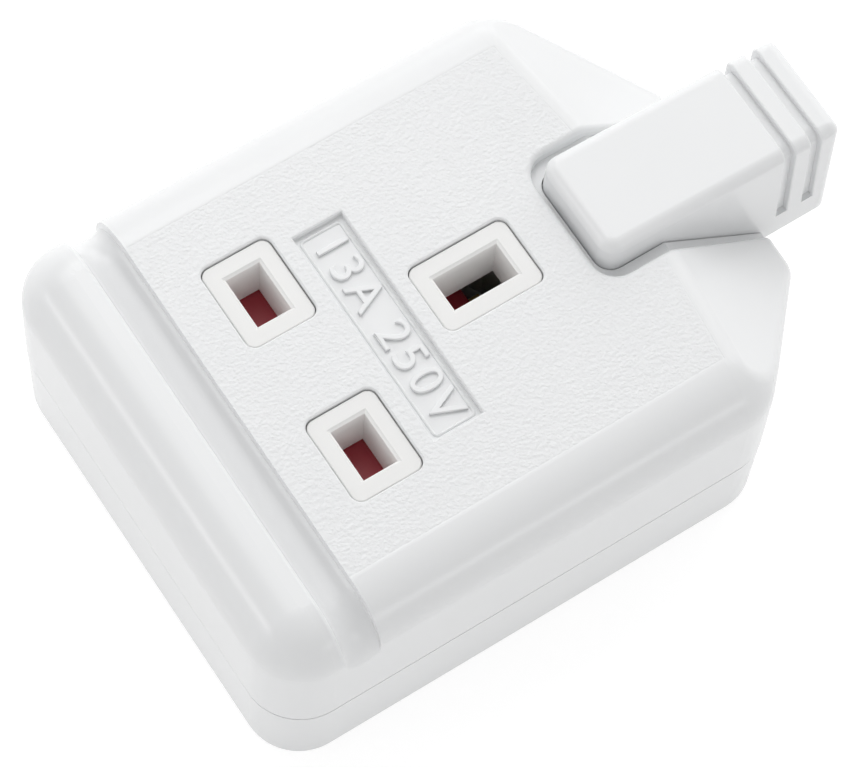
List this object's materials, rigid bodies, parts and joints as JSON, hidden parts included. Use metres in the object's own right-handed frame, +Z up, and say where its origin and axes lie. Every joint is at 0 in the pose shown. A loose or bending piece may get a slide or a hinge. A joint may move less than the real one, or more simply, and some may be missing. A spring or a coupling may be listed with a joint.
{
  "type": "trailing extension socket",
  "caption": "Trailing extension socket: rounded white rubber case with a finger groove across its face, collared and shuttered pin slots and a ribbed hood for the cord.",
  "frame": {"origin": "on the flat underside, straight below the middle of the line and neutral slots", "axes": "+Z up out of the socket face, +Y towards the earth slot and the cord end, +X towards the line slot"},
  "size_m": [0.061, 0.0919, 0.033],
  "materials": {
    "case_rubber": "matte, fine leathery grain on the face",
    "hood_rubber": "smooth matte",
    "insert_plastic": "smooth satin",
    "shutter_plastic": "satin",
    "spring_steel": "drawn wire",
    "carrier_plastic": "smooth satin",
    "contact_brass": "stamped, satin",
    "screw_steel": "plated"
  },
  "bodies": {
    "case": {"top_cover": "case_rubber", "base_shell": "case_rubber", "cord_hood": "hood_rubber", "socket_insert": "insert_plastic", "shutter_spring": "spring_steel", "contact_carrier": "carrier_plastic", "cord_clamp": "carrier_plastic", "line_contact": "contact_brass", "neutral_contact": "contact_brass", "earth_contact": "contact_brass", "line_terminal": "contact_brass", "neutral_terminal": "contact_brass", "earth_terminal": "contact_brass", "terminal_screws": "screw_steel", "insert_screws": "screw_steel", "clamp_screws": "screw_steel", "case_screws": "screw_steel"},
    "shutter": {"shutter": "shutter_plastic"}
  },
  "joints": [
    {"name": "shutter_slide", "type": "slide", "parent": "case", "child": "shutter", "axis": [0, -1, 0], "range_m": [0, 0.0055], "stiffness_N_per_m": 80, "springref_m": -0.001, "deforming": ["shutter_spring"]}
  ]
}
